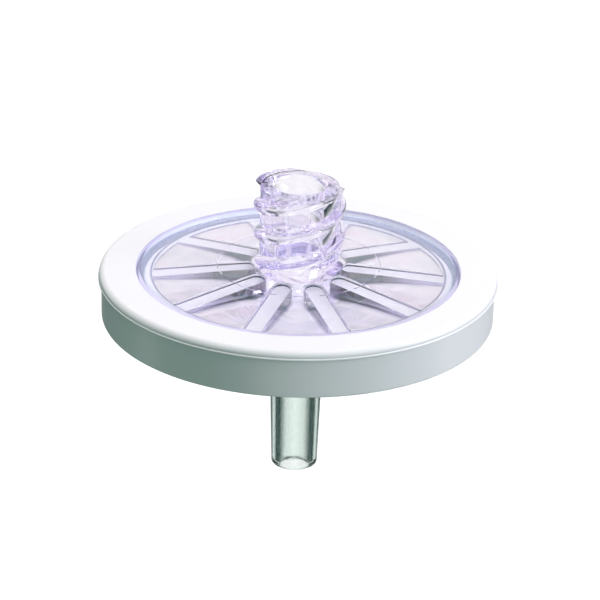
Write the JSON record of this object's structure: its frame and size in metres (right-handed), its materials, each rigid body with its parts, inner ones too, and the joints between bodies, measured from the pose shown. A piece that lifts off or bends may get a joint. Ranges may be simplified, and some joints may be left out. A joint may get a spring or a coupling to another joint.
{
  "type": "syringe filter",
  "caption": "Disc-shaped syringe filter: clear housings with a threaded Luer-lock inlet and a Luer-slip outlet, a thin membrane between them, and a white sealing band round the rim.",
  "frame": {"origin": "centre of the inlet's mouth, on the flow axis, level with the hub's end face", "axes": "+Z along the flow axis, out of the inlet's mouth towards the syringe; the outlet points along -Z; the centre line of one inlet rib lies along +X"},
  "size_m": [0.0336, 0.0336, 0.0257],
  "materials": {
    "clear_plastic": "clear, glossy moulded plastic with a faint violet cast; the outlet's tip is finely frosted",
    "membrane": "matt white microporous film",
    "white_plastic": "smooth white overmoulding with a soft shine"
  },
  "bodies": {
    "root": {"inlet_housing": "clear_plastic", "filter_membrane": "membrane", "outlet_housing": "clear_plastic", "sealing_band": "white_plastic"}
  },
  "joints": []
}
